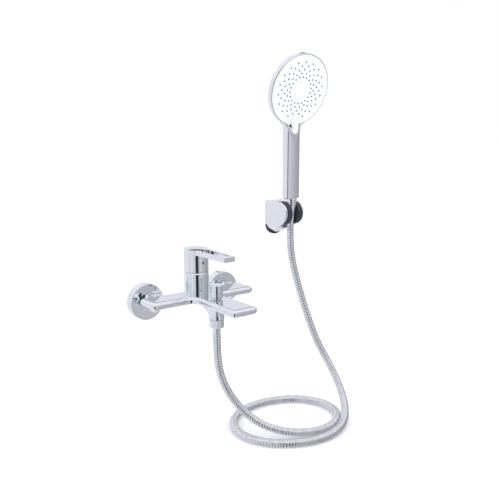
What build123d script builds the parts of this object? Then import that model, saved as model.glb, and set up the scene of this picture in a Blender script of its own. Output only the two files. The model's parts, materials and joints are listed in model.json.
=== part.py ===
from build123d import *
import math
import os

# Wall mounted bath and shower mixer with its hose, hand shower and wall bracket.
# Millimetres. The wall is the plane Y = 0, the front is -Y, up is +Z, and the
# origin is midway between the two wall inlets.

# Wall connection
INLET_SPACING = 150.0
WALL_THREAD_R = 10.48
WALL_THREAD_LENGTH = 18.0
FLANGE_R = 30.0
FLANGE_DEPTH = 15.5
FLANGE_EDGE_R = 1.2
UNION_R = 12.6
UNION_THREAD_R = 13.2
UNION_END = 21.2
NUT_ACROSS_FLATS = 30.0
NUT_START = 16.0
NUT_END = 26.6
WASHER_THICKNESS = 2.0
WATERWAY_R = 7.5
STRAINER_R = 8.35
STRAINER_DEPTH = 8.0
STRAINER_WALL = 0.4

# Mixer body: a flat T-shaped slab with full round edges, and a barrel on it
SLAB_TOP = 12.0
SLAB_THICKNESS = 12.0
SLAB_EDGE_R = 5.9
SLAB_BACK = 27.0
SLAB_FRONT = 73.2
SLAB_HALF_LENGTH = 98.3
SLAB_CORNER_R = 7.5
SLAB_INNER_R = 13.0
SPOUT_TIP = 181.2
SPOUT_ROOT_HALF_WIDTH = 23.0
SPOUT_TIP_HALF_WIDTH = 24.5
BOSS_R = 11.9
BOSS_END = 44.0
BARREL_Y = -46.0
BARREL_R = 20.4
SEAM_Z = 46.8
FLARE_HEIGHT = 7.5
FLARE_START = math.radians(20)
CHANNEL_Z = 6.0
CHANNEL_R = 3.6

# Cartridge, drawn about the barrel axis
PIVOT_Z = 36.0
DOME_R = 22.25
POCKET_R = 17.6
POCKET_FLOOR_Z = 14.0
LOCK_BORE_R = 18.45
LOCK_BORE_Z = 42.0
SPINDLE_R = 2.9
SPINDLE_BALL_Z = 29.0
SPINDLE_SQUARE = 7.0
SPINDLE_TOP_Z = 72.0
DISC_R = 11.4
LIFT_DEGREES = 20.0

# Lever: a cap over the barrel with a flat loop handle
CAP_GAP = 0.9
CAP_WALL_R = 18.9
CAP_RIM_R = 19.5
LEVER_TOP_Z = 85.0
LEVER_THICKNESS = 8.2
LEVER_REACH = 140.4
LEVER_ROOT_HALF_WIDTH = 13.0
LEVER_TIP_HALF_WIDTH = 10.5
LEVER_SIDE_BAR = 3.2
LEVER_TIP_BAR = 6.5
CAP_CROWN = 1.6
INDICATOR_Z = 63.6
INDICATOR_R = 3.2

# Diverter on the spout, with the hose outlet right under it
DIVERTER_Y = -103.0
KNOB_R = 10.4
KNOB_BASE_Z = 14.2
KNOB_TOP_Z = 35.0
STEM_R = 3.0
CHAMBER_R = 8.5
CHAMBER_FLOOR_Z = -14.0
OUTLET_Z = -20.8
FUNNEL_R = 12.8
FUNNEL_TOP_R = 22.2
PULL_TRAVEL = 7.0
AERATOR_Y = -165.0
AERATOR_R = 11.0

# Hose and its fittings
HOSE_R = 6.5
HOSE_THREAD_R = 10.3
FERRULE_R = 6.3
HOSE_NUT_FLATS = 22.8
HOSE_NUT_R = 12.0
HOSE_START_Z = -45.5
HOSE_END_Z = 104.0
FLOOR_Z = -228.5

# Wall bracket
BRACKET_X = 200.0
BRACKET_PIVOT_Z = 103.0
BASE_R = 19.0
BASE_DEPTH = 7.0
HOLDER_HALF_WIDTH = 21.0
HOLDER_TOP_Z = 146.5
HOLDER_BOTTOM_Z = 88.5
JAW_Y = -41.7
JAW_Z = 126.8
JAW_R = 19.7
LINER_HALF_WIDTH = 16.3
LINER_BACK_Y = -34.0
HOSE_SLOT = 14.0
SEAT_GAP = 0.2

# Hand shower
CRADLE_Y = -48.0
CONE_TOP_Z = 153.0
CONE_SHOULDER_Z = 148.0
CONE_BOTTOM_Z = 114.0
CONE_R = 11.4
CONE_TIP_R = 7.5
HANDLE_BOTTOM_Z = 153.6
HANDLE_FRONT_Y = -58.4
HANDLE_ARCH = 2.3
BEVEL_SIDE = 0.7
BEVEL_FRONT = 1.05
HANDLE_BACK_Y = -36.6
HANDLE_HALF_WIDTH = 13.8
HANDLE_TOP_Z = 312.0
HANDLE_BEND_Z = 262.0
HANDLE_SWEEP_R = 120.0
HANDLE_FRONT_BEND_Z = 250.0
HANDLE_FRONT_SWEEP_R = 115.0
HEAD_CENTRE = (200.0, -71.0, 340.0)
HEAD_TILT = 17.0
HEAD_R = 62.5
FACE_R = 60.3
NOZZLE_RINGS = ((13.9, 6), (23.0, 18), (29.2, 18), (35.4, 18), (41.7, 18), (48.0, 18))
NOZZLE_R = 1.3
NECK_R = 16.0
NECK_Z = 270.5
NECK_DEPTH = 11.5
BUTTON_HALF_WIDTH = 7.2
BUTTON_LOW_Z = 266.5
BUTTON_ROUND_Z = 288.3
BUTTON_FRONT_Y = -59.6
BUTTON_BACK_Y = -55.9
BUTTON_POCKET_Y = -54.4

LEFT = -INLET_SPACING / 2
RIGHT = INLET_SPACING / 2
GAP = 0.05

# The hose's route from the mixer's ferrule down to the surface it lies on,
# once round in a loose loop and a half, and up to the hand shower.
LOWER_ROUTE = [
    (0, -103, -45.5),
    (0, -103, -79),
    (5, -104, -116),
    (19, -109, -151),
    (39, -124, -184),
    (65, -150, -208),
    (101, -177, -218),
    (145, -190, -222),
    (189, -185, -222),
    (223, -158, -222),
    (236, -117, -222),
    (222, -76, -222),
    (190, -49, -222),
    (150, -37, -222),
    (108, -39, -222),
    (70, -55, -222),
    (43, -87, -222),
    (33, -127, -222),
    (45, -166, -222),
    (76, -196, -222),
    (116, -213, -222),
    (158, -214, -221),
    (199, -197, -218),
    (230, -168, -208),
    (247, -137, -185),
    (246, -110, -150),
    (234, -90, -113),
    (225, -77, -75),
]
UPPER_ROUTE = [
    (218, -66, -38),
    (211, -57, 0),
    (204, -50, 38),
    (200, -48, 74),
    (200, -48, 104),
]


def along(x, y, z, direction):
    """A plane at a point, with its own Z along a direction and its X level."""
    level = (1, 0, 0) if abs(direction[0]) < 0.5 else (0, 1, 0)
    return Plane(origin=(x, y, z), x_dir=level, z_dir=direction)


def turned(profile, plane):
    """A solid of revolution from (radius, height) pairs about a plane's Z."""
    outline = Polyline(*[(radius, 0, height) for radius, height in profile], close=True)
    return plane * revolve(make_face(outline), Axis.Z)


def rod(radius, start, end, plane):
    """A plain cylinder between two heights above a plane."""
    return plane * Pos(0, 0, (start + end) / 2) * Cylinder(radius, abs(end - start))


def tube(outer, inner, start, end, plane):
    """A plain ring between two heights above a plane."""
    return rod(outer, start, end, plane) - rod(inner, start - 1, end + 1, plane)


def block(x, y, z):
    """A box from its low and high limits on each axis."""
    middle = Pos((x[0] + x[1]) / 2, (y[0] + y[1]) / 2, (z[0] + z[1]) / 2)
    return middle * Box(x[1] - x[0], y[1] - y[0], z[1] - z[0])


def hexagon(across_flats, start, end, plane, turn=0.0):
    """A hexagonal prism between two heights above a plane."""
    sketch = RegularPolygon(across_flats / 2, 6, major_radius=False, rotation=turn)
    return plane * Pos(0, 0, start) * extrude(sketch, end - start)


def inlet(x):
    """The axis of one wall inlet, pointing out of the wall."""
    return along(x, 0, 0, (0, -1, 0))


BARREL = along(0, BARREL_Y, 0, (0, 0, 1))
DIVERTER = along(0, DIVERTER_Y, 0, (0, 0, 1))
CRADLE = along(BRACKET_X, CRADLE_Y, 0, (0, 0, 1))
PIVOT = along(BRACKET_X, 0, BRACKET_PIVOT_Z, (0, -1, 0))
TILT = math.radians(HEAD_TILT)
HEAD = Plane(
    origin=HEAD_CENTRE,
    x_dir=(1, 0, 0),
    z_dir=(0, -math.cos(TILT), -math.sin(TILT)),
)


# ---- wall connection ----


def wall_flange(x):
    """A turned cover cup with a flat face and a small round edge."""
    rim = FLANGE_R
    deep = FLANGE_DEPTH
    profile = [
        (rim, 0.2),
        (rim, deep),
        (UNION_R + GAP, deep),
        (UNION_R + GAP, deep - 1.5),
        (rim - 1.4, deep - 1.5),
        (rim - 1.4, 0.2),
    ]
    flange = turned(profile, inlet(x))
    front = [edge for edge in flange.edges() if edge.center().Y < 0.01 - deep]
    return fillet(max(front, key=lambda edge: edge.length), FLANGE_EDGE_R)


def wall_union(x):
    """The brass union between the pipe in the wall and the mixer's nut."""
    profile = [
        (WATERWAY_R, -WALL_THREAD_LENGTH),
        (WALL_THREAD_R, -WALL_THREAD_LENGTH),
        (WALL_THREAD_R, 0),
        (UNION_R, 0),
        (UNION_R, NUT_START - 0.5),
        (UNION_THREAD_R, NUT_START + 0.2),
        (UNION_THREAD_R, UNION_END),
        (STRAINER_R + GAP, UNION_END),
        (STRAINER_R + GAP, UNION_END - STRAINER_DEPTH - 0.1),
        (WATERWAY_R, UNION_END - STRAINER_DEPTH - 0.1),
    ]
    return turned(profile, inlet(x))


def inlet_washer(x):
    start = UNION_END
    return tube(12.2, STRAINER_R + GAP, start, start + WASHER_THICKNESS, inlet(x))


def inlet_strainer(x):
    """A cup-shaped screen that sits in the end of the union."""
    start = UNION_END - STRAINER_DEPTH
    cup = rod(STRAINER_R, start, UNION_END + 0.6, inlet(x))
    hollow = rod(STRAINER_R - STRAINER_WALL, start + 1.0, UNION_END + 1.6, inlet(x))
    screen = cup - hollow
    for step in range(8):
        angle = math.radians(45 * step)
        hole = Pos(4 * math.cos(angle), 4 * math.sin(angle), start) * Cylinder(0.9, 5)
        screen -= inlet(x) * hole
    return screen


def inlet_tail(x):
    """The collared tailpiece that holds the union nut to the body."""
    start = UNION_END + WASHER_THICKNESS
    profile = [
        (5.5, start),
        (12.9, start),
        (12.9, start + 1.6),
        (10.6, start + 1.6),
        (10.6, SLAB_BACK - 0.02),
        (8.5, SLAB_BACK - 0.02),
        (8.5, SLAB_BACK + 9.0),
        (5.5, SLAB_BACK + 9.0),
    ]
    return turned(profile, inlet(x))


def union_nut(x):
    """A hexagonal nut with a lip behind the tailpiece's collar."""
    collar = UNION_END + WASHER_THICKNESS + 1.6
    nut = hexagon(NUT_ACROSS_FLATS, NUT_START, NUT_END, inlet(x))
    corner = NUT_ACROSS_FLATS / math.sqrt(3)
    round_off = [
        (0, NUT_START),
        (corner - 1.8, NUT_START),
        (corner, NUT_START + 1.4),
        (corner, NUT_END - 1.4),
        (corner - 1.8, NUT_END),
        (0, NUT_END),
    ]
    nut &= turned(round_off, inlet(x))
    nut -= rod(UNION_THREAD_R + GAP, NUT_START - 1, collar, inlet(x))
    return nut - rod(10.6 + GAP, collar - 1, NUT_END + 1, inlet(x))


# ---- mixer body ----


def slab():
    """The T-shaped slab, with round edges all the way along it."""
    corners = [
        (-SLAB_HALF_LENGTH, -SLAB_BACK),
        (-SLAB_HALF_LENGTH, -SLAB_FRONT),
        (-SPOUT_ROOT_HALF_WIDTH, -SLAB_FRONT),
        (-SPOUT_TIP_HALF_WIDTH, -SPOUT_TIP),
        (SPOUT_TIP_HALF_WIDTH, -SPOUT_TIP),
        (SPOUT_ROOT_HALF_WIDTH, -SLAB_FRONT),
        (SLAB_HALF_LENGTH, -SLAB_FRONT),
        (SLAB_HALF_LENGTH, -SLAB_BACK),
    ]
    outer, inner = SLAB_CORNER_R, SLAB_INNER_R
    radii = [outer, outer, inner, outer, outer, inner, outer, outer]
    outline = FilletPolyline(*corners, radius=radii, close=True)
    plate = extrude(make_face(outline), SLAB_THICKNESS)
    plate = Pos(0, 0, SLAB_TOP - SLAB_THICKNESS) * plate
    level_edges = plate.faces().sort_by(Axis.Z)[-1].edges()
    level_edges += plate.faces().sort_by(Axis.Z)[0].edges()
    return fillet(level_edges, SLAB_EDGE_R)


def barrel():
    """The upright barrel, with a ball-shaped shoulder under the lever's cap."""
    column = rod(BARREL_R, 0.6, SEAM_Z, BARREL)
    ball = Pos(0, BARREL_Y, PIVOT_Z) * Sphere(DOME_R)
    low = block((-30, 30), (BARREL_Y - 30, BARREL_Y + 30), (0, PIVOT_Z))
    return column & (ball + low)


def barrel_flare():
    """The sweep from the barrel out onto the arms, wide along X only."""
    radius = FLARE_HEIGHT / math.cos(FLARE_START)
    middle = (math.pi / 2 - FLARE_START) / 2
    outer = BARREL_R + radius * (1 - math.sin(FLARE_START))
    curve = ThreePointArc(
        (BARREL_R, 0, FLARE_HEIGHT),
        (BARREL_R + radius * (1 - math.cos(middle)), 0, FLARE_HEIGHT - radius * math.sin(middle)),
        (outer, 0, 0),
    )
    rest = Polyline(
        (outer, 0, 0),
        (outer, 0, -1),
        (0, 0, -1),
        (0, 0, FLARE_HEIGHT),
        (BARREL_R, 0, FLARE_HEIGHT),
    )
    flare = revolve(make_face(curve + rest), Axis.Z)
    narrowed = scale(flare, by=(1.0, (BARREL_R + 0.9) / outer, 1.0))
    return Pos(0, BARREL_Y, SLAB_TOP) * narrowed


def funnel():
    """The flared outlet below the spout that the hose hangs from."""
    flare = ThreePointArc(
        (FUNNEL_TOP_R, 0, 0.8), (FUNNEL_R + 4.2, 0, -6.6), (FUNNEL_R, 0, -14.4)
    )
    rest = Polyline(
        (FUNNEL_R, 0, -14.4),
        (FUNNEL_R, 0, OUTLET_Z + 1.6),
        (FUNNEL_R - 1.4, 0, OUTLET_Z),
        (0, 0, OUTLET_Z),
        (0, 0, 6.0),
        (FUNNEL_TOP_R, 0, 6.0),
        (FUNNEL_TOP_R, 0, 0.8),
    )
    return DIVERTER * revolve(make_face(flare + rest), Axis.Z)


def inlet_boss(x):
    """The round inlet under each arm, with a domed front end."""
    dome = Pos(x, -BOSS_END + 5.0, 0) * Sphere(BOSS_R)
    dome &= block((x - 20, x + 20), (-BOSS_END - 8, -BOSS_END + 6), (-20, 20))
    return rod(BOSS_R, SLAB_BACK, BOSS_END - 5.0, inlet(x)) + dome


def water_channels():
    """Everything that the water runs through inside the casting."""
    cuts = []
    for x in (LEFT, RIGHT):
        side = 1 if x > 0 else -1
        cuts.append(rod(8.5 + GAP, SLAB_BACK - 1, SLAB_BACK + 9.2, inlet(x)))
        cuts.append(rod(CHANNEL_R, SLAB_BACK + 8, -BARREL_Y, inlet(x)))
        cuts.append(rod(CHANNEL_R, 0, CHANNEL_Z, along(x, BARREL_Y, 0, (0, 0, 1))))
        cross = along(0, BARREL_Y, CHANNEL_Z, (side, 0, 0))
        cuts.append(rod(CHANNEL_R, 7.5, abs(x), cross))
        port = along(7.5 * side, BARREL_Y, 0, (0, 0, 1))
        cuts.append(rod(CHANNEL_R, CHANNEL_Z - 2, POCKET_FLOOR_Z + 1, port))
    out = along(0, BARREL_Y - 9, 0, (0, 0, 1))
    cuts.append(rod(CHANNEL_R, CHANNEL_Z - 1, POCKET_FLOOR_Z + 1, out))
    forward = along(0, BARREL_Y - 9, CHANNEL_Z, (0, -1, 0))
    cuts.append(rod(CHANNEL_R, 0, BARREL_Y - 9 - DIVERTER_Y, forward))
    spout = ((-8, 8), (AERATOR_Y, DIVERTER_Y), (3.0, 8.6))
    cuts.append(block(*spout))
    return cuts


def faucet_body():
    """The brass casting, bored for the cartridge, the diverter and the aerator."""
    body = slab() + barrel() + barrel_flare() + funnel()
    for x in (LEFT, RIGHT):
        body += inlet_boss(x)
    body -= rod(POCKET_R, POCKET_FLOOR_Z, SEAM_Z + 1, BARREL)
    body -= rod(LOCK_BORE_R, LOCK_BORE_Z, SEAM_Z + 1, BARREL)
    for cut in water_channels():
        body -= cut
    body -= rod(CHAMBER_R, CHAMBER_FLOOR_Z, 5.0, DIVERTER)
    body -= rod(6.5, 4.0, SLAB_TOP + 1, DIVERTER)
    body -= rod(5.0, OUTLET_Z - 1, CHAMBER_FLOOR_Z + 1, DIVERTER)
    body -= rod(7.5, OUTLET_Z - 1, -15.6, DIVERTER)
    aerator = along(0, AERATOR_Y, 0, (0, 0, 1))
    body -= rod(AERATOR_R, -1, 7.0, aerator)
    return body


# ---- cartridge and lever ----


def cartridge_seals():
    """Three seals under the cartridge, one for each port."""
    ports = [(-7.5, 0), (7.5, 0), (0, -9)]
    rings = []
    for x, y in ports:
        place = along(x, BARREL_Y + y, POCKET_FLOOR_Z, (0, 0, 1))
        rings.append(tube(4.2, 3.0, 0, 1.0, place))
    return rings


def cartridge_base():
    base = rod(POCKET_R - 0.1, POCKET_FLOOR_Z + 1.0, 20.8, BARREL)
    for x, y in [(-7.5, 0), (7.5, 0), (0, -9)]:
        base -= rod(3.0, 0, 30, along(x, BARREL_Y + y, 0, (0, 0, 1)))
    return base


def cartridge_housing():
    """The plastic cup that holds the discs, with a collar for the carrier."""
    profile = [
        (14.5, 20.9),
        (POCKET_R - 0.1, 20.9),
        (POCKET_R - 0.1, LOCK_BORE_Z - 0.1),
        (11.5, LOCK_BORE_Z - 0.1),
        (11.5, 50.0),
        (9.8, 50.0),
        (9.8, 40.3),
        (14.5, 40.3),
    ]
    return turned(profile, BARREL)


def ceramic_disc_fixed():
    disc = rod(14.3, 20.9, 24.3, BARREL)
    for x, y in [(-7.5, 0), (7.5, 0), (0, -9)]:
        disc -= rod(2.8, 0, 30, along(x, BARREL_Y + y, 0, (0, 0, 1)))
    return disc


def ceramic_disc_moving():
    """The sliding disc, with the socket that the spindle's ball pushes."""
    disc = rod(DISC_R, 24.4, 28.0, BARREL)
    disc -= rod(SPINDLE_R + 0.4, 25.7, 29, BARREL)
    disc -= block((-7.5, 7.5), (BARREL_Y - 9, BARREL_Y - 5), (24, 25.2))
    return disc


def cartridge_carrier():
    """The turning carrier, slotted so that the spindle can rock in it."""
    carrier = rod(14.3, 28.2, 40.1, BARREL) + rod(9.7, 40.0, 49.6, BARREL)
    half = SPINDLE_R + 0.4
    swing = math.tan(math.radians(LIFT_DEGREES))
    low, high = PIVOT_Z - 9.0, PIVOT_Z + 15.0
    slot_profile = [
        (BARREL_Y - half - 9.0 * swing - 0.4, low),
        (BARREL_Y + half, low),
        (BARREL_Y + half, PIVOT_Z),
        (BARREL_Y + half + 15.0 * swing, high),
        (BARREL_Y - half, high),
        (BARREL_Y - half, PIVOT_Z),
    ]
    outline = Polyline(*[(0, y, z) for y, z in slot_profile], close=True)
    carrier -= extrude(make_face(outline), half, dir=(1, 0, 0), both=True)
    return carrier - rod(1.5 + GAP, -12.5, 12.5, along(0, BARREL_Y, PIVOT_Z, (1, 0, 0)))


def pivot_pin():
    return rod(1.5, -12.0, 12.0, along(0, BARREL_Y, PIVOT_Z, (1, 0, 0)))


def cartridge_spindle():
    """The rocking spindle: ball end below, square end up in the lever."""
    spindle = Pos(0, BARREL_Y, SPINDLE_BALL_Z) * Sphere(SPINDLE_R)
    spindle += rod(SPINDLE_R, SPINDLE_BALL_Z, 53.0, BARREL)
    half = SPINDLE_SQUARE / 2
    sides = (BARREL_Y - half, BARREL_Y + half)
    spindle += block((-half, half), sides, (52.8, SPINDLE_TOP_Z))
    return spindle - rod(1.5 + GAP, -5, 5, along(0, BARREL_Y, PIVOT_Z, (1, 0, 0)))


def cartridge_lock_nut():
    """The brass ring that holds the cartridge down in its pocket."""
    thread = rod(LOCK_BORE_R - GAP, LOCK_BORE_Z, SEAM_Z - 0.4, BARREL)
    top = hexagon(27.0, SEAM_Z - 0.5, 49.8, BARREL)
    return thread + top - rod(11.5 + GAP, LOCK_BORE_Z - 1, 51, BARREL)


def seam_ring():
    """The dark ring on the barrel's top that shows in the seam."""
    return tube(19.2, 18.5, SEAM_Z, SEAM_Z + CAP_GAP - 0.2, BARREL)


def lever_loop():
    """The flat loop of the handle, seen from above a long frame."""
    root, tip, bar = LEVER_ROOT_HALF_WIDTH, LEVER_TIP_HALF_WIDTH, LEVER_SIDE_BAR
    start, end = BARREL_Y - 8.0, -LEVER_REACH
    frame = [(-root, start), (-tip, end), (tip, end), (root, start)]
    window_start, window_end = BARREL_Y - 19.5, end + LEVER_TIP_BAR
    window = [
        (bar - root + 0.4, window_start),
        (bar - tip, window_end),
        (tip - bar, window_end),
        (root - bar - 0.4, window_start),
    ]
    outside = make_face(FilletPolyline(*frame, radius=[0.5, 2.0, 2.0, 0.5], close=True))
    inside = make_face(FilletPolyline(*window, radius=[1.2] * 4, close=True))
    loop = extrude(outside - inside, LEVER_THICKNESS)
    level = loop.edges().filter_by(lambda edge: edge.bounding_box().size.Z < 0.01)
    loop = chamfer(level, 0.35)
    return Pos(0, 0, LEVER_TOP_Z - LEVER_THICKNESS) * loop


def lever_cap():
    """The lever's cap, slightly crowned on top."""
    shell = rod(BARREL_R, SEAM_Z + CAP_GAP, LEVER_TOP_Z, BARREL)
    crown_r = (BARREL_R**2 + CAP_CROWN**2) / (2 * CAP_CROWN)
    crown = Pos(0, BARREL_Y, LEVER_TOP_Z + CAP_CROWN - crown_r) * Sphere(crown_r)
    column = rod(BARREL_R, LEVER_TOP_Z - 1, LEVER_TOP_Z + CAP_CROWN + 1, BARREL)
    return shell + (crown & column)


def lever_handle():
    """Cap and loop in one casting, with the socket for the spindle."""
    lever = lever_cap() + lever_loop()
    inside = rod(CAP_WALL_R, 49.0, LEVER_TOP_Z - 3.5, BARREL)
    inside += rod(CAP_RIM_R, SEAM_Z, 49.5, BARREL)
    lever -= inside - rod(7.6, 55.5, LEVER_TOP_Z, BARREL)
    half = SPINDLE_SQUARE / 2 + GAP
    sides = (BARREL_Y - half, BARREL_Y + half)
    lever -= block((-half, half), sides, (50, SPINDLE_TOP_Z + 0.5))
    front = along(0, BARREL_Y, INDICATOR_Z, (0, -1, 0))
    lever -= rod(2.55, 3, 9, front)
    return lever - rod(INDICATOR_R + GAP, 15, 25, front)


def lever_set_screw():
    """The grub screw that clamps the lever to the spindle's flat."""
    front = along(0, BARREL_Y, INDICATOR_Z, (0, -1, 0))
    screw = rod(2.5, SPINDLE_SQUARE / 2, 9.0, front)
    return screw - hexagon(2.5, 6.5, 10, front)


def indicator_plug():
    """The round plug over the set screw, with two pockets for the colours."""
    front = along(0, BARREL_Y, INDICATOR_Z, (0, -1, 0))
    plug = rod(INDICATOR_R, 16.5, BARREL_R + 0.5, front)
    return plug - rod(2.3, BARREL_R - 0.3, BARREL_R + 1, front)


def indicator_half(side):
    """A half disc of colour in the plug: red on the left, blue on the right."""
    front = along(0, BARREL_Y, INDICATOR_Z, (0, -1, 0))
    disc = rod(2.25, BARREL_R - 0.25, BARREL_R + 0.4, front)
    x = (-3, -0.1) if side < 0 else (0.1, 3)
    return disc & block(x, (-70, -60), (60, 68))


# ---- diverter, aerator and hose outlet ----


def diverter_knob():
    """The pull knob, hollow below where it clears the guide bush."""
    knob = rod(KNOB_R, KNOB_BASE_Z, KNOB_TOP_Z, DIVERTER)
    knob = fillet(knob.edges().sort_by(Axis.Z)[-1], 1.2)
    knob = chamfer(knob.edges().sort_by(Axis.Z)[0], 0.6)
    knob -= rod(8.4, KNOB_BASE_Z - 1, KNOB_BASE_Z + 2.4, DIVERTER)
    return knob - rod(STEM_R + GAP, KNOB_BASE_Z, KNOB_TOP_Z - 5, DIVERTER)


def diverter_stem():
    """The pulled rod from the knob down to the valve."""
    stem = rod(STEM_R, -3.0, KNOB_TOP_Z - 5.1, DIVERTER)
    return stem + rod(2.0, -9.0, -3.0, DIVERTER)


def diverter_bush():
    """The guide bush screwed into the top of the spout."""
    bush = rod(6.45, 5.1, SLAB_TOP, DIVERTER) + rod(8.0, SLAB_TOP, 13.4, DIVERTER)
    bush -= rod(STEM_R + GAP, 0, 20, DIVERTER)
    return bush - rod(4.6, 7.0, 9.0, DIVERTER)


def stem_seal():
    return tube(4.55, STEM_R + GAP, 7.1, 8.9, DIVERTER)


def diverter_valve():
    """The valve disc on the stem's end: up shuts the spout, down the hose."""
    return tube(7.2, 2.0 + GAP, -9.0, -6.6, DIVERTER)


def valve_seal():
    return tube(7.6, 5.2, -10.6, -9.0, DIVERTER)


def aerator_housing():
    """The threaded ring that holds the aerator in the spout."""
    place = along(0, AERATOR_Y, 0, (0, 0, 1))
    ring = tube(AERATOR_R - GAP, 9.0, -0.8, 6.0, place)
    return ring + tube(9.5, 7.0, -0.8, 0.2, place)


def aerator_insert():
    """The flow straightener, a disc full of small holes."""
    place = along(0, AERATOR_Y, 0, (0, 0, 1))
    insert = rod(8.9, 0.3, 5.4, place)
    for column in range(-3, 4):
        for row in range(-3, 4):
            x, y = 2.1 * column, 2.1 * row
            if math.hypot(x, y) < 6.8:
                insert -= Pos(x, AERATOR_Y + y, 3) * Box(1.5, 1.5, 10)
    return insert


def aerator_seal():
    place = along(0, AERATOR_Y, 0, (0, 0, 1))
    return tube(10.8, 7.6, 6.0, 7.0, place)


def outlet_nipple():
    """The threaded outlet that the hose's nut screws onto."""
    profile = [
        (5.5, -30.5),
        (HOSE_THREAD_R, -30.5),
        (HOSE_THREAD_R, -21.8),
        (10.9, -21.8),
        (10.9, OUTLET_Z - 0.05),
        (7.45, OUTLET_Z - 0.05),
        (7.45, -15.8),
        (5.5, -15.8),
    ]
    return turned(profile, DIVERTER)


def check_valve():
    """The one-way valve pressed into the outlet."""
    return tube(5.45, 2.2, -28.0, -20.0, DIVERTER)


# ---- hose ----


def hose_nut():
    """The lower nut: six shallow flats on a round nut."""
    nut = hexagon(HOSE_NUT_FLATS, -34.6, -21.9, DIVERTER, turn=15)
    nut &= rod(HOSE_NUT_R, -34.6, -21.9, DIVERTER)
    nut = chamfer(nut.faces().sort_by(Axis.Z)[0].edges(), 0.4)
    nut -= rod(HOSE_THREAD_R + GAP, -33.4, -21, DIVERTER)
    return nut - rod(FERRULE_R + 0.1, -36, -30, DIVERTER)


def lower_ferrule():
    """The collar and sleeve crimped on the hose's lower end."""
    profile = [
        (4.0, -32.4),
        (9.8, -32.4),
        (9.8, -33.35),
        (FERRULE_R, -33.35),
        (FERRULE_R, HOSE_START_Z),
        (4.0, HOSE_START_Z),
    ]
    return turned(profile, DIVERTER)


def hose_cone_nut():
    """The long conical nut that seats in the cradle."""
    profile = [
        (FERRULE_R + 0.1, CONE_BOTTOM_Z),
        (CONE_TIP_R, CONE_BOTTOM_Z),
        (CONE_R, CONE_SHOULDER_Z),
        (CONE_R, CONE_TOP_Z - 0.4),
        (CONE_R - 0.4, CONE_TOP_Z),
        (HOSE_THREAD_R + GAP, CONE_TOP_Z),
        (HOSE_THREAD_R + GAP, 138.2),
        (FERRULE_R + 0.1, 136.6),
    ]
    return turned(profile, CRADLE)


def upper_ferrule():
    """The collar and sleeve crimped on the hose's upper end."""
    profile = [
        (4.0, HOSE_END_Z),
        (FERRULE_R, HOSE_END_Z),
        (FERRULE_R, 137.6),
        (9.0, 138.6),
        (9.0, 140.2),
        (4.0, 140.2),
    ]
    return turned(profile, CRADLE)


def arc_radii(route):
    """The largest tangent arc that each inner corner of a route has room for."""
    points = [Vector(*point) for point in route]
    radii = []
    for before, corner, after in zip(points, points[1:], points[2:]):
        turn = math.radians((corner - before).get_angle(after - corner))
        shorter = min((corner - before).length, (after - corner).length)
        radii.append(0.45 * shorter / math.tan(turn / 2))
    return radii


def hose_run(route):
    """A round tube swept along straight runs joined by tangent arcs."""
    radii = arc_radii(route)
    path = FilletPolyline(*route, radius=radii)
    section = Plane(origin=path @ 0, z_dir=path % 0) * Circle(HOSE_R)
    run = sweep(section, path=path)
    expected = math.pi * HOSE_R**2 * path.length
    print(f"hose run {path.length:.0f} mm, volume ratio {run.volume / expected:.4f}")
    print("arc radii", [round(radius) for radius in radii])
    return run


# ---- wall bracket ----


def bracket_base():
    """The round plate on the wall, with two countersunk screw holes."""
    base = rod(BASE_R, 0, BASE_DEPTH, PIVOT)
    base = fillet(base.edges().sort_by(Axis.Y)[0], 0.8)
    for side in (-1, 1):
        hole = along(BRACKET_X, 0, BRACKET_PIVOT_Z + 12 * side, (0, -1, 0))
        base -= rod(2.2, -1, BASE_DEPTH + 1, hole)
        base -= turned([(0, 4.4), (2.2, 4.4), (4.4, 6.8), (4.4, 8), (0, 8)], hole)
    return base - rod(2.5, -1, BASE_DEPTH + 1, PIVOT)


def pivot_bolt():
    """The bolt that the holder turns on, threaded into the base."""
    return rod(2.45, 0.5, 24.0, PIVOT) + rod(6.0, 24.0, 27.5, PIVOT)


def holder_side_view(grow=0.0):
    """The holder seen from the side: flat top, round nose, sloping keel."""
    nose_r = JAW_R + grow
    top = (JAW_Y, JAW_Z + nose_r)
    front = (JAW_Y - nose_r, JAW_Z)
    low_angle = math.radians(55)
    low = (JAW_Y - nose_r * math.cos(low_angle), JAW_Z - nose_r * math.sin(low_angle))
    turn = math.radians(22)
    middle = (JAW_Y - nose_r * math.cos(turn), JAW_Z + nose_r * math.sin(-turn))
    upper = (JAW_Y - nose_r * math.sin(turn), JAW_Z + nose_r * math.cos(turn))
    nose = ThreePointArc((0, *top), (0, *upper), (0, *front))
    nose += ThreePointArc((0, *front), (0, *middle), (0, *low))
    keel = Polyline(
        (0, *low),
        (0, -12.0, HOLDER_BOTTOM_Z - grow),
        (0, -1.0, HOLDER_BOTTOM_Z - grow),
        (0, -1.0, JAW_Z + nose_r),
        (0, *top),
    )
    return make_face(nose + keel)


def holder_front_view(half_width):
    """The holder seen from the front: flat top, straight sides, round bottom."""
    middle_z = HOLDER_BOTTOM_Z + half_width
    bottom = ThreePointArc(
        (BRACKET_X - half_width, 0, middle_z),
        (BRACKET_X, 0, HOLDER_BOTTOM_Z),
        (BRACKET_X + half_width, 0, middle_z),
    )
    rest = Polyline(
        (BRACKET_X + half_width, 0, middle_z),
        (BRACKET_X + half_width, 0, HOLDER_TOP_Z),
        (BRACKET_X - half_width, 0, HOLDER_TOP_Z),
        (BRACKET_X - half_width, 0, middle_z),
    )
    return make_face(bottom + rest)


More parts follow.
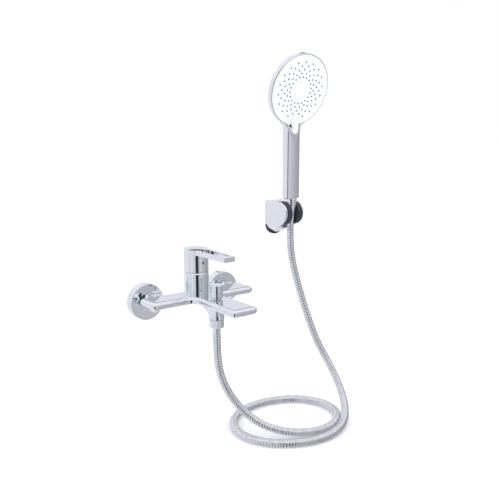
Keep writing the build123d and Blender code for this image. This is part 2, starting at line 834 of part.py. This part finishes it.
def bracket_holder():
    """The chrome holder: two side jaws with the cradle between them."""
    width = HOLDER_HALF_WIDTH
    side = extrude(holder_side_view(), 60, dir=(1, 0, 0), both=True)
    front = extrude(holder_front_view(width), 80, dir=(0, -1, 0), both=True)
    holder = (Pos(BRACKET_X, 0, 0) * side) & front
    jaw_edges = [
        edge
        for edge in holder.edges()
        if abs(abs(edge.center().X - BRACKET_X) - width) < 0.01
        and edge.center().Y < -12
        and edge.center().Z > HOLDER_BOTTOM_Z + width
    ]
    holder = fillet(jaw_edges, 2.6)
    inner = LINER_HALF_WIDTH
    holder -= block((BRACKET_X - inner, BRACKET_X + inner), (-90, LINER_BACK_Y), (80, 160))
    holder -= rod(BASE_R + 0.4, 0, BASE_DEPTH + 0.4, PIVOT)
    holder -= block((170, 230), (-BASE_DEPTH - 0.4, 1), (80, BRACKET_PIVOT_Z))
    holder -= rod(2.5 + GAP, 0, 30, PIVOT)
    return holder - rod(6.3, 24.0 - GAP, 60, PIVOT)


def cradle_liner():
    """The dark cradle between the jaws, open in front for the hose."""
    inner = LINER_HALF_WIDTH - GAP
    side = extrude(holder_side_view(grow=1.6), inner, dir=(1, 0, 0), both=True)
    liner = Pos(BRACKET_X, 0, 0) * side
    liner &= block((170, 230), (-90, LINER_BACK_Y - GAP), (107.5, HOLDER_TOP_Z + 0.4))
    slope = (CONE_R - CONE_TIP_R) / (CONE_SHOULDER_Z - CONE_BOTTOM_Z)
    top_r = CONE_R + slope * 12 + SEAT_GAP
    low_r = CONE_TIP_R - slope * 12 + SEAT_GAP
    seat = [
        (0, CONE_BOTTOM_Z - 12),
        (low_r, CONE_BOTTOM_Z - 12),
        (top_r, CONE_SHOULDER_Z + 12),
        (0, CONE_SHOULDER_Z + 12),
    ]
    liner -= turned(seat, CRADLE)
    liner -= rod(FERRULE_R + 0.7, 100, 125, CRADLE)
    half = HOSE_SLOT / 2
    return liner - block((BRACKET_X - half, BRACKET_X + half), (-90, CRADLE_Y), (90, 160))


# ---- hand shower ----


def handle_section():
    """The handle's section: arched front, bevelled corners, round back."""
    left, right = BRACKET_X - HANDLE_HALF_WIDTH, BRACKET_X + HANDLE_HALF_WIDTH
    middle, front = BRACKET_X, HANDLE_FRONT_Y
    edge = front + HANDLE_ARCH
    round_r = 8.0
    slant = round_r * (1 - math.sqrt(0.5))
    back = HANDLE_BACK_Y
    outline = Polyline(
        (left, back - round_r),
        (left, edge + BEVEL_SIDE),
        (left + BEVEL_FRONT, edge),
    )
    outline += ThreePointArc(
        (left + BEVEL_FRONT, edge), (middle, front), (right - BEVEL_FRONT, edge)
    )
    outline += Polyline(
        (right - BEVEL_FRONT, edge),
        (right, edge + BEVEL_SIDE),
        (right, back - round_r),
    )
    outline += ThreePointArc(
        (right, back - round_r), (right - slant, back - slant), (right - round_r, back)
    )
    outline += Line((right - round_r, back), (left + round_r, back))
    outline += ThreePointArc(
        (left + round_r, back), (left + slant, back - slant), (left, back - round_r)
    )
    return make_face(outline)


def head_body():
    """The head's outside, turned about the face's own axis."""
    rim = ThreePointArc((FACE_R + 0.1, 0, 0.4), (62.0, 0, -0.4), (HEAD_R, 0, -2.2))
    rim += Line((HEAD_R, 0, -2.2), (HEAD_R, 0, -7.0))
    edge = ThreePointArc((HEAD_R, 0, -7.0), (60.2, 0, -11.2), (55.0, 0, -13.8))
    dome = ThreePointArc((55.0, 0, -13.8), (28.5, 0, -18.8), (0, 0, -20.5))
    rest = Polyline((0, 0, -20.5), (0, 0, 0.4), (FACE_R + 0.1, 0, 0.4))
    return HEAD * revolve(make_face(rim + edge + dome + rest), Axis.Z)


def head_cavity():
    """The space inside the head for the face, the mat and the water."""
    profile = [
        (0, 3.0),
        (FACE_R + 0.1, 3.0),
        (FACE_R + 0.1, -7.1),
        (58.0, -7.1),
        (58.0, -9.2),
        (53.0, -11.6),
        (28.0, -16.6),
        (0, -18.3),
    ]
    return turned(profile, HEAD)


def front_sweep():
    """Everything behind the handle's front, which bends back to the face."""
    middle_y = HANDLE_FRONT_Y + HANDLE_FRONT_SWEEP_R
    centre = along(BRACKET_X, middle_y, HANDLE_FRONT_BEND_Z, (1, 0, 0))
    low = block((150, 250), (-70, -30), (HANDLE_BOTTOM_Z - 1, HANDLE_FRONT_BEND_Z))
    return rod(HANDLE_FRONT_SWEEP_R, -50, 50, centre) + low


def back_sweep():
    """Everything in front of the handle's back, which bends into the head."""
    middle_y = HANDLE_BACK_Y - HANDLE_SWEEP_R
    centre = along(BRACKET_X, middle_y, HANDLE_BEND_Z, (1, 0, 0))
    low = block((150, 250), (-70, -30), (HANDLE_BOTTOM_Z - 1, HANDLE_BEND_Z))
    return rod(HANDLE_SWEEP_R, -50, 50, centre) + low


def neck():
    """The web between handle and head, with a round hollow on each side."""
    centre_x = HANDLE_HALF_WIDTH - 0.1 + NECK_R
    low, high = NECK_Z, NECK_Z + 24.0
    web = [
        (BRACKET_X - centre_x, 0, low),
        (BRACKET_X - centre_x * 0.65, 0, high),
        (BRACKET_X + centre_x * 0.65, 0, high),
        (BRACKET_X + centre_x, 0, low),
    ]
    solid = extrude(make_face(Polyline(*web, close=True)), NECK_DEPTH, dir=(0, -1, 0))
    solid = Pos(0, HANDLE_FRONT_Y + HANDLE_ARCH + NECK_DEPTH, 0) * solid
    for side in (-1, 1):
        hollow = along(BRACKET_X + side * centre_x, 0, NECK_Z, (0, -1, 0))
        solid -= rod(NECK_R, 20, 80, hollow)
    return solid


def handle():
    """The straight handle, the neck, and the bends that join the head."""
    bar = extrude(handle_section(), HANDLE_TOP_Z - HANDLE_BOTTOM_Z)
    bar = Pos(0, 0, HANDLE_BOTTOM_Z) * bar
    bar = chamfer(bar.faces().sort_by(Axis.Z)[0].edges(), 0.5)
    return (bar + neck()) & back_sweep() & front_sweep()


def button_outline(grow, back, length):
    """A teardrop prism under the face, wide and round at its top."""
    half = BUTTON_HALF_WIDTH + grow
    low = BUTTON_LOW_Z - grow
    narrow = half * 0.6
    middle, top = BRACKET_X, BUTTON_ROUND_Z
    sides = Line((middle - narrow, 0, low + 3.5), (middle - half, 0, top))
    sides += ThreePointArc(
        (middle - half, 0, top), (middle, 0, top + half), (middle + half, 0, top)
    )
    sides += Line((middle + half, 0, top), (middle + narrow, 0, low + 3.5))
    sides += ThreePointArc(
        (middle + narrow, 0, low + 3.5), (middle, 0, low), (middle - narrow, 0, low + 3.5)
    )
    prism = extrude(make_face(sides), length, dir=(0, -1, 0))
    return Pos(0, back, 0) * prism


def handset_shell():
    """Handle and head in one moulding, hollow for the water."""
    in_front = HEAD * Pos(0, 0, 0.4) * extrude(Circle(HEAD_R + 2), 40)
    shell = head_body() + (handle() - in_front)
    shell -= head_cavity()
    upper = along(BRACKET_X, CRADLE_Y + 1.5, 0, (0, 0, 1))
    shell -= rod(3.0, 258.0, 300.0, upper)
    shell -= rod(5.0, HANDLE_BOTTOM_Z - 1, 260.0, CRADLE)
    shell -= rod(8.4, HANDLE_BOTTOM_Z - 1, 166.0, CRADLE)
    return shell - button_outline(0.35, BUTTON_POCKET_Y, 24)


def spray_button():
    """The push button under the face that changes the spray."""
    length = BUTTON_BACK_Y - BUTTON_FRONT_Y
    return button_outline(0.0, BUTTON_BACK_Y, length)


def nozzle_places():
    """Where each nozzle stands: rings turned half a step from each other.

    The outermost ring has none at the bottom, where the button is.
    """
    places = []
    for index, (radius, count) in enumerate(NOZZLE_RINGS):
        shift = -90 if index % 2 or index == 0 else 180 / count - 90
        skipped = 1 if radius > 45 else 0
        for step in range(skipped, count):
            angle = math.radians(shift + 360 / count * step)
            places.append((radius * math.cos(angle), radius * math.sin(angle)))
    return places


def faceplate():
    """The white face with a hole for every nozzle."""
    plate = Cylinder(FACE_R, 2.8)
    holes = [Pos(x, y, 0) * Cylinder(NOZZLE_R + 0.1, 5) for x, y in nozzle_places()]
    plate = Pos(0, 0, -1.2) * (plate - holes)
    return HEAD * plate - button_outline(0.35, BUTTON_POCKET_Y, 24)


def nozzle_mat():
    """The soft mat behind the face, with its nozzles standing through it."""
    mat = Pos(0, 0, -3.65) * Cylinder(57.0, 2.0)
    tips = [Pos(x, y, -1.1) * Cylinder(NOZZLE_R, 4.2) for x, y in nozzle_places()]
    return HEAD * (mat + tips)


def chamber_plate():
    """The plate behind the mat that spreads the water."""
    plate = Pos(0, 0, -5.85) * Cylinder(FACE_R, 2.3)
    for step in range(12):
        angle = math.radians(30 * step)
        plate -= Pos(30 * math.cos(angle), 30 * math.sin(angle), -6) * Cylinder(3, 4)
    return HEAD * plate


def chamber_seal():
    """The ring behind the chamber plate, in the step round the cavity."""
    return tube(57.9, 56.2, -8.6, -7.05, HEAD)


def handset_nipple():
    """The threaded inlet in the bottom of the handle."""
    profile = [
        (5.5, 142.2),
        (HOSE_THREAD_R, 142.2),
        (HOSE_THREAD_R, CONE_TOP_Z + 0.3),
        (8.35, CONE_TOP_Z + 0.3),
        (8.35, 165.5),
        (5.5, 165.5),
    ]
    return turned(profile, CRADLE)


def flow_limiter():
    """The small flow limiter pressed into the handle's inlet."""
    return tube(5.45, 2.0, 146.0, 152.0, CRADLE)


def hose_washers():
    """The flat washers at the hose's two ends."""
    low = tube(9.8, 5.0, -32.35, -30.55, DIVERTER)
    high = tube(9.6, 5.0, 140.25, 142.15, CRADLE)
    return low, high


def save(name, pieces):
    """Write one node's solids to its own file."""
    solids = pieces if isinstance(pieces, (list, tuple)) else [pieces]
    found = [solid for piece in solids for solid in piece.solids()]
    shape = found[0] if len(found) == 1 else Compound(children=found)
    export_step(shape, f"parts/{name}.step")


def main():
    os.makedirs("parts", exist_ok=True)
    for side, x in (("left", LEFT), ("right", RIGHT)):
        save(f"wall_flange_{side}", wall_flange(x))
        save(f"wall_union_{side}", wall_union(x))
        save(f"union_nut_{side}", union_nut(x))
        save(f"inlet_tail_{side}", inlet_tail(x))
    save("inlet_washers", [inlet_washer(LEFT), inlet_washer(RIGHT)])
    save("inlet_strainers", [inlet_strainer(LEFT), inlet_strainer(RIGHT)])
    save("faucet_body", faucet_body())

    save("cartridge_seals", cartridge_seals())
    save("cartridge_base", cartridge_base())
    save("cartridge_housing", cartridge_housing())
    save("ceramic_disc_fixed", ceramic_disc_fixed())
    save("ceramic_disc_moving", ceramic_disc_moving())
    save("cartridge_carrier", cartridge_carrier())
    save("pivot_pin", pivot_pin())
    save("cartridge_spindle", cartridge_spindle())
    save("cartridge_lock_nut", cartridge_lock_nut())
    save("seam_ring", seam_ring())
    save("lever_handle", lever_handle())
    save("lever_set_screw", lever_set_screw())
    save("indicator_plug", indicator_plug())
    save("indicator_red", indicator_half(-1))
    save("indicator_blue", indicator_half(1))

    save("diverter_knob", diverter_knob())
    save("diverter_stem", diverter_stem())
    save("diverter_bush", diverter_bush())
    save("diverter_stem_seal", stem_seal())
    save("diverter_valve", diverter_valve())
    save("diverter_valve_seal", valve_seal())
    save("aerator_housing", aerator_housing())
    save("aerator_insert", aerator_insert())
    save("aerator_seal", aerator_seal())
    save("outlet_nipple", outlet_nipple())
    save("outlet_check_valve", check_valve())

    low_washer, high_washer = hose_washers()
    joint = tuple((a + b) / 2 for a, b in zip(LOWER_ROUTE[-1], UPPER_ROUTE[0]))
    save("hose_nut", hose_nut())
    save("hose_washer_lower", low_washer)
    save("hose_ferrule_lower", lower_ferrule())
    save("hose_lower", hose_run(LOWER_ROUTE + [joint]))
    save("hose_upper", hose_run([joint] + UPPER_ROUTE))
    save("hose_ferrule_upper", upper_ferrule())
    save("hose_washer_upper", high_washer)
    save("hose_cone_nut", hose_cone_nut())

    save("bracket_base", bracket_base())
    save("bracket_pivot_bolt", pivot_bolt())
    save("bracket_holder", bracket_holder())
    save("bracket_cradle", cradle_liner())

    save("handset_shell", handset_shell())
    save("handset_nipple", handset_nipple())
    save("handset_flow_limiter", flow_limiter())
    save("faceplate", faceplate())
    save("nozzle_mat", nozzle_mat())
    save("chamber_plate", chamber_plate())
    save("chamber_seal", chamber_seal())
    save("spray_button", spray_button())


main()
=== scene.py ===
import json
import math

import bpy
import numpy as np
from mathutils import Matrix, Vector


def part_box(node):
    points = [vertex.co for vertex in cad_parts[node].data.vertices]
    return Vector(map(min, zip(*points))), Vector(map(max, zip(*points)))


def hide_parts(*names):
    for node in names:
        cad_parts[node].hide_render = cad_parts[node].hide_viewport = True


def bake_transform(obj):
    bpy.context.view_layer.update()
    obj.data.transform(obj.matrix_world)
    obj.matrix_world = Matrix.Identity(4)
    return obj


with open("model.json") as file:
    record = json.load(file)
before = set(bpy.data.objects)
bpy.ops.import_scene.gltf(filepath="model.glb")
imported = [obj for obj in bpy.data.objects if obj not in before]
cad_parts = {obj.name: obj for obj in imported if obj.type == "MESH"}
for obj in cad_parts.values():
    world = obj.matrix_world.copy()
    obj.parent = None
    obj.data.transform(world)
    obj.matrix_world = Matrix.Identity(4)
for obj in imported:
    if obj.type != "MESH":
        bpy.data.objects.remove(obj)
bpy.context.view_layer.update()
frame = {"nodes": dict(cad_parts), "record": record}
nodes = frame["nodes"]
scene = bpy.context.scene

# ---- camera ----

camera_data = bpy.data.cameras.new("camera")
camera_data.lens = 50.94
camera_data.sensor_width = 36
camera_data.clip_end = 30
camera = bpy.data.objects.new("camera", camera_data)
camera.location = (-0.6210, -0.9997, 0.2975)
camera.rotation_euler = (math.radians(79.25), 0, math.radians(-37.5))
scene.collection.objects.link(camera)
scene.camera = camera

# ---- the hose: its route, then the spiral steel hose that follows it ----

HOSE_ROUTE = [
    (0, -0.103, -0.0455),
    (0, -0.103, -0.079),
    (0.005, -0.104, -0.116),
    (0.019, -0.109, -0.151),
    (0.039, -0.124, -0.184),
    (0.065, -0.150, -0.208),
    (0.101, -0.177, -0.218),
    (0.145, -0.190, -0.222),
    (0.189, -0.185, -0.222),
    (0.223, -0.158, -0.222),
    (0.236, -0.117, -0.222),
    (0.222, -0.076, -0.222),
    (0.190, -0.049, -0.222),
    (0.150, -0.037, -0.222),
    (0.108, -0.039, -0.222),
    (0.070, -0.055, -0.222),
    (0.043, -0.087, -0.222),
    (0.033, -0.127, -0.222),
    (0.045, -0.166, -0.222),
    (0.076, -0.196, -0.222),
    (0.116, -0.213, -0.222),
    (0.158, -0.214, -0.221),
    (0.199, -0.197, -0.218),
    (0.230, -0.168, -0.208),
    (0.247, -0.137, -0.185),
    (0.246, -0.110, -0.150),
    (0.234, -0.090, -0.113),
    (0.225, -0.077, -0.075),
    (0.218, -0.066, -0.038),
    (0.211, -0.057, 0),
    (0.204, -0.050, 0.038),
    (0.200, -0.048, 0.074),
    (0.200, -0.048, 0.104),
]
HOSE_RADIUS = 0.0065
HOSE_PITCH = 0.0046
HOSE_GROOVE = 0.0010


def spline_line(route):
    """Points read from a smooth spline through the route's control points."""
    curve = bpy.data.curves.new("hose_line", "CURVE")
    curve.dimensions = "3D"
    spline = curve.splines.new("NURBS")
    spline.points.add(len(route) - 1)
    for point, place in zip(spline.points, route):
        point.co = (*place, 1)
    spline.order_u = 3
    spline.use_endpoint_u = True
    spline.resolution_u = 24
    holder = bpy.data.objects.new("hose_line", curve)
    line = bpy.data.meshes.new_from_object(holder)
    points = np.array([vertex.co for vertex in line.vertices], float)
    bpy.data.objects.remove(holder)
    bpy.data.meshes.remove(line)
    bpy.data.curves.remove(curve)
    return points


def even_steps(points, step):
    """The same line with its points a given step apart, and their distances."""
    lengths = np.linalg.norm(np.diff(points, axis=0), axis=1)
    travelled = np.concatenate([[0], np.cumsum(lengths)])
    count = int(round(travelled[-1] / step)) + 1
    distance = np.linspace(0, travelled[-1], count)
    line = np.stack([np.interp(distance, travelled, points[:, k]) for k in range(3)], 1)
    return line, distance


def carried_frames(line):
    """A pair of directions across the line at each point, carried along it."""
    ahead = np.gradient(line, axis=0)
    ahead /= np.linalg.norm(ahead, axis=1)[:, None]
    side = np.cross(ahead[0], (0, 1, 0))
    side /= np.linalg.norm(side)
    sides = [side]
    for tangent in ahead[1:]:
        side = side - tangent * np.dot(side, tangent)
        side /= np.linalg.norm(side)
        sides.append(side)
    sides = np.array(sides)
    return sides, np.cross(ahead, sides)


def spiral_hose(name, line, around=36, step=0.00046):
    """A tube with one rounded winding after another along a line."""
    line, distance = even_steps(line, step)
    across, up = carried_frames(line)
    angle = np.linspace(0, 2 * math.pi, around, endpoint=False)
    phase = distance[:, None] / HOSE_PITCH - angle[None, :] / (2 * math.pi)
    from_ridge = np.abs(2 * (phase - np.floor(phase)) - 1)
    radius = HOSE_RADIUS - HOSE_GROOVE * from_ridge**5
    vertices = (
        line[:, None, :]
        + (radius * np.cos(angle))[:, :, None] * across[:, None, :]
        + (radius * np.sin(angle))[:, :, None] * up[:, None, :]
    ).reshape(-1, 3)
    rings = len(line)
    ring, k = np.meshgrid(np.arange(rings - 1), np.arange(around), indexing="ij")
    after = (k + 1) % around
    quads = np.stack(
        [
            ring * around + k,
            ring * around + after,
            (ring + 1) * around + after,
            (ring + 1) * around + k,
        ],
        -1,
    ).reshape(-1, 4)
    faces = quads.tolist()
    faces.append(list(range(around))[::-1])
    faces.append([(rings - 1) * around + k for k in range(around)])
    mesh = bpy.data.meshes.new(name)
    mesh.from_pydata(vertices.tolist(), [], faces)
    mesh.update()
    mesh.shade_smooth()
    hose = bpy.data.objects.new(name, mesh)
    scene.collection.objects.link(hose)
    return hose, line


hose, hose_path = spiral_hose("shower_hose", spline_line(HOSE_ROUTE))
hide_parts("hose_lower", "hose_upper")
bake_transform(hose)

# ---- materials ----


def material(name, colour, metallic=0.0, roughness=0.4):
    """A material with its shader, ready for nodes."""
    made = bpy.data.materials.new(name)
    made.use_nodes = True
    shader = made.node_tree.nodes["Principled BSDF"]
    shader.inputs["Base Color"].default_value = (*colour, 1)
    shader.inputs["Metallic"].default_value = metallic
    shader.inputs["Roughness"].default_value = roughness
    return made, made.node_tree.nodes, made.node_tree.links, shader


def noise(tree_nodes, links, scale, detail=3.0):
    """Noise that stays with the object's own space."""
    place = tree_nodes.new("ShaderNodeTexCoord")
    texture = tree_nodes.new("ShaderNodeTexNoise")
    texture.inputs["Scale"].default_value = scale
    texture.inputs["Detail"].default_value = detail
    links.new(place.outputs["Object"], texture.inputs["Vector"])
    return texture


def spread(tree_nodes, links, texture, socket, low, high):
    """Lead a texture's value, spread over a range, to a shader socket."""
    limits = tree_nodes.new("ShaderNodeMapRange")
    limits.inputs["From Min"].default_value = 0.3
    limits.inputs["From Max"].default_value = 0.7
    limits.inputs["To Min"].default_value = low
    limits.inputs["To Max"].default_value = high
    links.new(texture.outputs["Fac"], limits.inputs["Value"])
    links.new(limits.outputs["Result"], socket)


def tint(tree_nodes, links, texture, shader, dark, light):
    """Lead a texture's value to the base colour, between two colours."""
    ramp = tree_nodes.new("ShaderNodeValToRGB")
    ramp.color_ramp.elements[0].position = 0.3
    ramp.color_ramp.elements[0].color = (*dark, 1)
    ramp.color_ramp.elements[1].position = 0.7
    ramp.color_ramp.elements[1].color = (*light, 1)
    links.new(texture.outputs["Fac"], ramp.inputs["Fac"])
    links.new(ramp.outputs["Color"], shader.inputs["Base Color"])


def grain(tree_nodes, links, texture, shader, strength, distance):
    """A fine bump from a texture."""
    bump = tree_nodes.new("ShaderNodeBump")
    bump.inputs["Strength"].default_value = strength
    bump.inputs["Distance"].default_value = distance
    links.new(texture.outputs["Fac"], bump.inputs["Height"])
    links.new(bump.outputs["Normal"], shader.inputs["Normal"])


def finish(name, dark, light, metallic, rough, patch, bump=None, coat=0.0):
    """A surface with its colour and gloss varying a little over it."""
    made, tree_nodes, links, shader = material(name, light, metallic, rough[0])
    blotches = noise(tree_nodes, links, patch)
    tint(tree_nodes, links, blotches, shader, dark, light)
    smudges = noise(tree_nodes, links, patch * 2.3, 5.0)
    spread(tree_nodes, links, smudges, shader.inputs["Roughness"], *rough)
    if bump:
        scale, strength, distance = bump
        fine = noise(tree_nodes, links, scale, 6.0)
        grain(tree_nodes, links, fine, shader, strength, distance)
    if coat:
        shader.inputs["Coat Weight"].default_value = coat
        shader.inputs["Coat Roughness"].default_value = 0.08
    return made


PALE_RADIUS = 0.0185
PALE_COLOUR = (0.70, 0.71, 0.75)


def pale_in_the_middle(made, centre):
    """Pale colour inside a radius of a place, for the six jets in the middle."""
    tree_nodes, links = made.node_tree.nodes, made.node_tree.links
    base_colour = tree_nodes["Principled BSDF"].inputs["Base Color"]
    place = tree_nodes.new("ShaderNodeTexCoord")
    reach = tree_nodes.new("ShaderNodeVectorMath")
    reach.operation = "DISTANCE"
    reach.inputs[1].default_value = centre
    links.new(place.outputs["Object"], reach.inputs[0])
    inside = tree_nodes.new("ShaderNodeMath")
    inside.operation = "LESS_THAN"
    inside.inputs[1].default_value = PALE_RADIUS
    links.new(reach.outputs["Value"], inside.inputs[0])
    pale = tree_nodes.new("ShaderNodeMix")
    pale.data_type = "RGBA"
    pale.inputs["B"].default_value = (*PALE_COLOUR, 1)
    links.new(base_colour.links[0].from_socket, pale.inputs["A"])
    links.new(inside.outputs[0], pale.inputs["Factor"])
    links.new(pale.outputs["Result"], base_colour)


chrome = finish(
    "chrome", (0.86, 0.88, 0.92), (0.90, 0.915, 0.95), 1.0, (0.035, 0.065), 45
)
hose_steel = finish(
    "spiral_steel", (0.70, 0.71, 0.74), (0.84, 0.85, 0.88), 1.0, (0.16, 0.26), 160
)
brass = finish("brass", (0.62, 0.46, 0.20), (0.78, 0.61, 0.30), 1.0, (0.22, 0.34), 90)
steel = finish("steel", (0.42, 0.43, 0.45), (0.60, 0.61, 0.63), 1.0, (0.25, 0.4), 120)
white_plastic = finish(
    "white_plastic",
    (0.80, 0.82, 0.87),
    (0.84, 0.86, 0.90),
    0.0,
    (0.16, 0.24),
    60,
    bump=(900, 0.05, 0.0002),
    coat=0.25,
)
dark_plastic = finish(
    "dark_plastic",
    (0.016, 0.019, 0.026),
    (0.030, 0.034, 0.044),
    0.0,
    (0.32, 0.46),
    80,
    bump=(1400, 0.25, 0.0003),
)
soft_grey = finish(
    "nozzle_silicone",
    (0.15, 0.14, 0.17),
    (0.22, 0.21, 0.24),
    0.0,
    (0.5, 0.65),
    150,
    bump=(1600, 0.2, 0.0002),
)
face_low, face_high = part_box("faceplate")
face_centre = [(low + high) / 2 for low, high in zip(face_low, face_high)]
pale_in_the_middle(soft_grey, face_centre)
rubber = finish("black_rubber", (0.010, 0.010, 0.010), (0.02, 0.02, 0.02), 0.0, (0.5, 0.7), 120)
plain_plastic = finish(
    "moulded_plastic", (0.62, 0.62, 0.60), (0.72, 0.72, 0.70), 0.0, (0.35, 0.5), 90
)
mesh_plastic = finish(
    "aerator_plastic", (0.38, 0.40, 0.43), (0.52, 0.54, 0.57), 0.0, (0.3, 0.45), 90
)
ceramic = finish("ceramic", (0.80, 0.79, 0.77), (0.88, 0.87, 0.85), 0.0, (0.1, 0.2), 90)
red_mark = finish("red_mark", (0.45, 0.01, 0.02), (0.62, 0.02, 0.03), 0.0, (0.2, 0.3), 300)
blue_mark = finish("blue_mark", (0.02, 0.05, 0.38), (0.03, 0.09, 0.55), 0.0, (0.2, 0.3), 300)

BY_SLOT = {
    "chrome": chrome,
    "brass": brass,
    "steel": steel,
    "hose_steel": hose_steel,
    "rubber": rubber,
    "nozzle_rubber": soft_grey,
    "plastic": plain_plastic,
    "aerator_plastic": mesh_plastic,
    "ceramic": ceramic,
    "white_plastic": white_plastic,
    "dark_plastic": dark_plastic,
    "red_mark": red_mark,
    "blue_mark": blue_mark,
}


def paint(thing, made):
    thing.data.materials.clear()
    thing.data.materials.append(made)


for entry in frame["record"]["subparts"]:
    paint(nodes[entry["node"]], BY_SLOT[entry["material_slot"]])
paint(hose, hose_steel)

# ---- floor and light ----

FLOOR_Z = -0.2286
FLOOR_REACH = 14.0
FLOOR_COLOUR = (0.93, 0.93, 0.94)

# Brightness of the studio round the object, by azimuth from the front towards +X.
STUDIO = [
    (-180, 0.84),
    (-108, 0.82),
    (-92, 0.68),
    (-78, 0.84),
    (-50, 0.66),
    (-43, 0.60),
    (-35, 0.004),
    (-22, 0.004),
    (-8, 0.50),
    (2, 0.66),
    (40, 0.48),
    (90, 0.33),
    (112, 0.60),
    (140, 0.80),
    (180, 0.84),
]
STUDIO_TINT = (0.97, 0.985, 1.04)
CEILING_COLOUR = (0.90, 0.91, 0.95)
DARK_COLOUR = (0.01, 0.01, 0.012)
BACKDROP_COLOUR = (1.0, 1.0, 1.0)
# How far the plain bright ceiling replaces the panorama, by height.
CEILING = [(0, 0), (0.25, 0), (0.60, 1), (1, 1)]
# Where the dark patch behind the object is, by height, by X and by Y. The upper
# edges of the mixer's slab reflect it as a thin line.
DARK_BY_HEIGHT = [(0, 0), (0.36, 0), (0.40, 0.92), (0.56, 0.92), (0.66, 0), (1, 0)]
DARK_BY_X = [(0, 0), (0.36, 0), (0.44, 1), (0.62, 1), (0.74, 0), (1, 0)]
DARK_FROM_Y = (-0.10, 0.20)


def studio_floor():
    """A wide pale floor just under the hose, which no chrome reflects."""
    low, high = -FLOOR_REACH, FLOOR_REACH
    corners = [(low, low), (high, low), (high, high), (low, high)]
    mesh = bpy.data.meshes.new("floor")
    mesh.from_pydata([(x, y, FLOOR_Z) for x, y in corners], [], [(0, 1, 2, 3)])
    floor = bpy.data.objects.new("floor", mesh)
    scene.collection.objects.link(floor)
    paint(floor, material("floor", FLOOR_COLOUR, 0, 0.6)[0])
    floor.visible_glossy = False


studio_floor()

world = bpy.data.worlds.new("studio")
world.use_nodes = True
scene.world = world
tree = world.node_tree
tree.nodes.clear()


def maths(operation, first, second):
    """The result of a maths node on a socket and a number or another socket."""
    node = tree.nodes.new("ShaderNodeMath")
    node.operation = operation
    tree.links.new(first, node.inputs[0])
    if isinstance(second, (int, float)):
        node.inputs[1].default_value = second
    else:
        tree.links.new(second, node.inputs[1])
    return node.outputs[0]


def share_of_range(value, low, high):
    """0 below a range, 1 above it, and in between inside it."""
    node = tree.nodes.new("ShaderNodeMapRange")
    node.inputs["From Min"].default_value = low
    node.inputs["From Max"].default_value = high
    tree.links.new(value, node.inputs["Value"])
    return node.outputs["Result"]


def ramp(value, stops):
    """A colour ramp led by a value, with stops from 0 to 1."""
    node = tree.nodes.new("ShaderNodeValToRGB")
    elements = node.color_ramp.elements
    for position, colour in stops[1:-1]:
        elements.new(position)
    for element, (position, colour) in zip(elements, stops):
        element.position = position
        element.color = (*colour, 1)
    tree.links.new(value, node.inputs["Fac"])
    return node.outputs["Color"]


def grey_ramp(value, stops):
    return ramp(value, [(position, (share,) * 3) for position, share in stops])


def mixed(factor, first, colour):
    """A socket's colour with a plain colour mixed into it by a factor."""
    node = tree.nodes.new("ShaderNodeMix")
    node.data_type = "RGBA"
    node.inputs["B"].default_value = (*colour, 1)
    tree.links.new(factor, node.inputs["Factor"])
    tree.links.new(first, node.inputs["A"])
    return node.outputs["Result"]


direction = tree.nodes.new("ShaderNodeTexCoord")
split = tree.nodes.new("ShaderNodeSeparateXYZ")
tree.links.new(direction.outputs["Generated"], split.inputs["Vector"])
to_x, to_y, to_z = split.outputs["X"], split.outputs["Y"], split.outputs["Z"]
azimuth = maths("ARCTAN2", to_x, maths("MULTIPLY", to_y, -1))
turn = share_of_range(azimuth, -math.pi, math.pi)
panorama = ramp(
    turn,
    [
        ((angle + 180) / 360, [level * part for part in STUDIO_TINT])
        for angle, level in STUDIO
    ],
)
room = mixed(grey_ramp(to_z, CEILING), panorama, CEILING_COLOUR)
dark_share = maths("MULTIPLY", grey_ramp(to_z, DARK_BY_HEIGHT), share_of_range(to_y, *DARK_FROM_Y))
dark_share = maths("MULTIPLY", dark_share, grey_ramp(to_x, DARK_BY_X))
room = mixed(dark_share, room, DARK_COLOUR)
# The camera sees a plain white backdrop instead of the room.
seen = tree.nodes.new("ShaderNodeLightPath")
backdrop = mixed(seen.outputs["Is Camera Ray"], room, BACKDROP_COLOUR)
background = tree.nodes.new("ShaderNodeBackground")
output = tree.nodes.new("ShaderNodeOutputWorld")
tree.links.new(backdrop, background.inputs["Color"])
tree.links.new(background.outputs["Background"], output.inputs["Surface"])


def soft_sun(name, place, strength, spread_degrees):
    """A very wide sun from a direction, which shows in no reflection."""
    data = bpy.data.lights.new(name, "SUN")
    data.energy = strength
    data.angle = math.radians(spread_degrees)
    lamp = bpy.data.objects.new(name, data)
    lamp.rotation_euler = Vector(place).to_track_quat("Z", "Y").to_euler()
    scene.collection.objects.link(lamp)
    lamp.visible_glossy = False


soft_sun("overhead", (-0.3, -0.5, 1.0), 1.5, 120)
soft_sun("front_left", (-0.8, -1.0, 0.45), 0.9, 60)

scene.view_settings.view_transform = "Standard"
